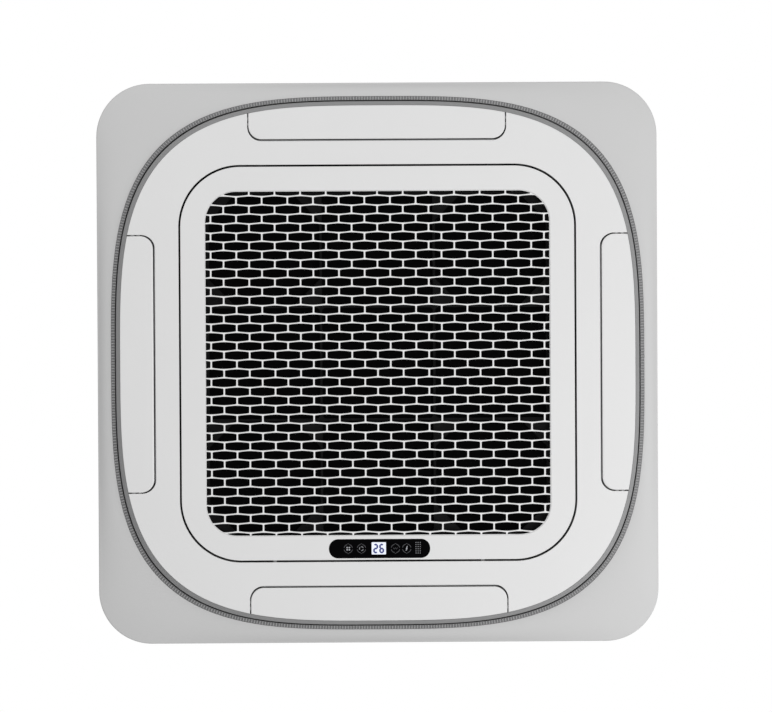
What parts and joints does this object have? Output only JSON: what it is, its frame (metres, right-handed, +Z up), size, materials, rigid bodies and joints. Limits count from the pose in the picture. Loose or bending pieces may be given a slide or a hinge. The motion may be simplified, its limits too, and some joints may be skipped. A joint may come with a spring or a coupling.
{
  "type": "ceiling cassette air conditioner",
  "caption": "Square ceiling cassette: a body with turbo fan and coil above the ceiling, and a panel with a honeycomb intake grille and a tilting louver on each side below it.",
  "frame": {"origin": "centre of the ceiling plane, where the back of the panel meets the ceiling", "axes": "+Z up into the ceiling, +Y towards the display bar and the hinge side of the grille, +X to the pipe side"},
  "size_m": [0.95, 0.95, 0.2911],
  "materials": {
    "white_plastic": "satin moulded plastic",
    "fascia_plastic": "satin moulded plastic, a shade greyer",
    "rim_plastic": "smooth mid-grey plastic",
    "ribbed_plastic": "finely ribbed grey plastic",
    "grey_plastic": "plain grey plastic",
    "black_plastic": "matt black plastic",
    "gloss_black": "polished black display cover",
    "filter_plastic": "dark grey filter plastic",
    "galvanised_steel": "galvanised sheet",
    "foam": "expanded polystyrene",
    "dark_foam": "closed-cell gasket foam",
    "aluminium_fins": "plain aluminium fins",
    "copper_pipe": "drawn copper",
    "brass_nut": "machined brass",
    "dark_steel": "dark painted steel",
    "circuit_board": "green laminate"
  },
  "bodies": {
    "housing": {"fascia_frame": "fascia_plastic", "ribbed_trim": "ribbed_plastic", "rim_band": "rim_plastic", "centre_panel": "white_plastic", "drain_pump": "white_plastic", "panel_base": "grey_plastic", "outlet_duct_right": "grey_plastic", "outlet_duct_back": "grey_plastic", "outlet_duct_left": "grey_plastic", "outlet_duct_front": "grey_plastic", "hinge_bracket_left": "grey_plastic", "hinge_bracket_right": "grey_plastic", "drain_hose": "grey_plastic", "panel_seal": "dark_foam", "louver_motor_right": "black_plastic", "louver_motor_back": "black_plastic", "louver_motor_left": "black_plastic", "louver_motor_front": "black_plastic", "catch_housing_left": "black_plastic", "catch_housing_right": "black_plastic", "bellmouth": "black_plastic", "float_stem": "black_plastic", "main_circuit_board": "circuit_board", "casing_wall": "galvanised_steel", "top_cover": "galvanised_steel", "coil_end_plate": "galvanised_steel", "pipe_cover": "galvanised_steel", "pump_bracket": "galvanised_steel", "control_box": "galvanised_steel", "control_box_cover": "galvanised_steel", "hanger_bracket_back_right": "galvanised_steel", "hanger_bracket_back_left": "galvanised_steel", "hanger_bracket_front_left": "galvanised_steel", "hanger_bracket_front_right": "galvanised_steel", "foam_liner": "foam", "drain_pan": "foam", "fan_motor": "dark_steel", "gas_flare_nut": "brass_nut", "liquid_flare_nut": "brass_nut", "heat_exchanger": "aluminium_fins", "gas_pipe": "copper_pipe", "liquid_pipe": "copper_pipe"},
    "louver_right": {"louver_right": "white_plastic"},
    "louver_back": {"louver_back": "white_plastic"},
    "louver_left": {"louver_left": "white_plastic"},
    "louver_front": {"louver_front": "white_plastic"},
    "intake_grille": {"grille_frame": "white_plastic", "honeycomb_grille": "white_plastic", "filter_frame": "filter_plastic", "filter_mesh": "filter_plastic", "display_lens": "gloss_black", "display_board": "circuit_board"},
    "catch_left": {"catch_plunger_left": "grey_plastic"},
    "catch_right": {"catch_plunger_right": "grey_plastic"},
    "fan": {"fan_wheel": "black_plastic", "fan_shaft": "dark_steel", "fan_hub_nut": "brass_nut"},
    "pump_rotor": {"pump_impeller": "grey_plastic"},
    "float": {"float_ring": "grey_plastic"}
  },
  "joints": [
    {"name": "louver_right_tilt", "type": "hinge", "parent": "housing", "child": "louver_right", "pos_m": [0.4045, 0, -0.03], "axis": [0, 1, 0], "range_deg": [0, 50]},
    {"name": "louver_back_tilt", "type": "hinge", "parent": "housing", "child": "louver_back", "pos_m": [0, 0.4045, -0.03], "axis": [-1, 0, 0], "range_deg": [0, 50]},
    {"name": "louver_left_tilt", "type": "hinge", "parent": "housing", "child": "louver_left", "pos_m": [-0.4045, 0, -0.03], "axis": [0, -1, 0], "range_deg": [0, 50]},
    {"name": "louver_front_tilt", "type": "hinge", "parent": "housing", "child": "louver_front", "pos_m": [0, -0.4045, -0.03], "axis": [1, 0, 0], "range_deg": [0, 50]},
    {"name": "grille_hinge", "type": "hinge", "parent": "housing", "child": "intake_grille", "pos_m": [0, 0.3448, -0.0324], "axis": [1, 0, 0], "range_deg": [0, 90]},
    {"name": "catch_left_press", "type": "slide", "parent": "housing", "child": "catch_left", "axis": [0, 0, 1], "range_m": [0, 0.003], "stiffness_N_per_m": 500, "springref_m": -0.004},
    {"name": "catch_right_press", "type": "slide", "parent": "housing", "child": "catch_right", "axis": [0, 0, 1], "range_m": [0, 0.003], "stiffness_N_per_m": 500, "springref_m": -0.004},
    {"name": "fan_spin", "type": "hinge", "parent": "housing", "child": "fan", "pos_m": [0, 0, 0.16], "axis": [0, 0, 1], "continuous": true},
    {"name": "pump_spin", "type": "hinge", "parent": "housing", "child": "pump_rotor", "pos_m": [0.306, -0.306, 0.055], "axis": [0, 0, 1], "continuous": true},
    {"name": "float_lift", "type": "slide", "parent": "housing", "child": "float", "axis": [0, 0, 1], "range_m": [0, 0.01]}
  ]
}
